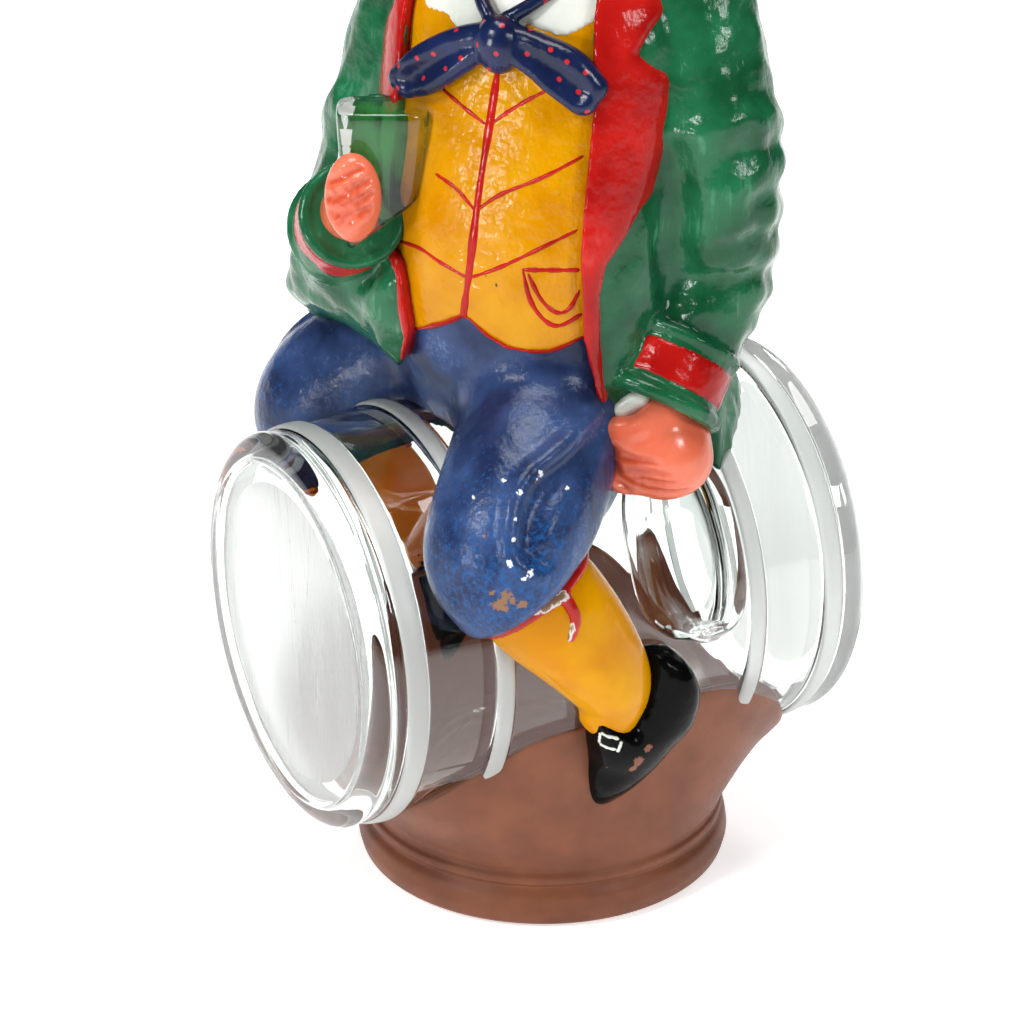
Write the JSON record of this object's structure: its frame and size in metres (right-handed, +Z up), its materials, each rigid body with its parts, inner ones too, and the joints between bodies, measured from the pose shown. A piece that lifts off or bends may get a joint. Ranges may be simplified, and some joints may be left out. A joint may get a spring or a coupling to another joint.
{
  "type": "figural decanter",
  "caption": "Moulded glass decanter shaped as a seated figure astride a barrel on a round foot, cold-painted, with the hat as its stopper.",
  "frame": {"origin": "on the table under the barrel's middle, the centre of the bounding box's underside", "axes": "+Z up; Y along the barrel, -Y towards the head that the figure faces past; +X on the figure's left-leg side"},
  "size_m": [0.136, 0.1396, 0.3136],
  "materials": {
    "clear_glass": "moulded clear glass, fire-polished, hoops lightly frosted",
    "black_enamel": "gloss black cold enamel on glass",
    "green_enamel": "gloss green cold enamel on glass, brushed on",
    "yellow_enamel": "gloss yellow cold enamel on glass with red lines",
    "blue_enamel": "mottled blue cold enamel on glass, worn in spots",
    "navy_enamel": "gloss navy cold enamel on glass with red dots",
    "skin_enamel": "gloss flesh-pink cold enamel on glass",
    "red_enamel": "gloss red cold enamel on glass",
    "brown_enamel": "satin brown cold enamel on glass"
  },
  "bodies": {
    "root": {"decanter": "clear_glass", "hat_stopper": "black_enamel"}
  },
  "joints": []
}
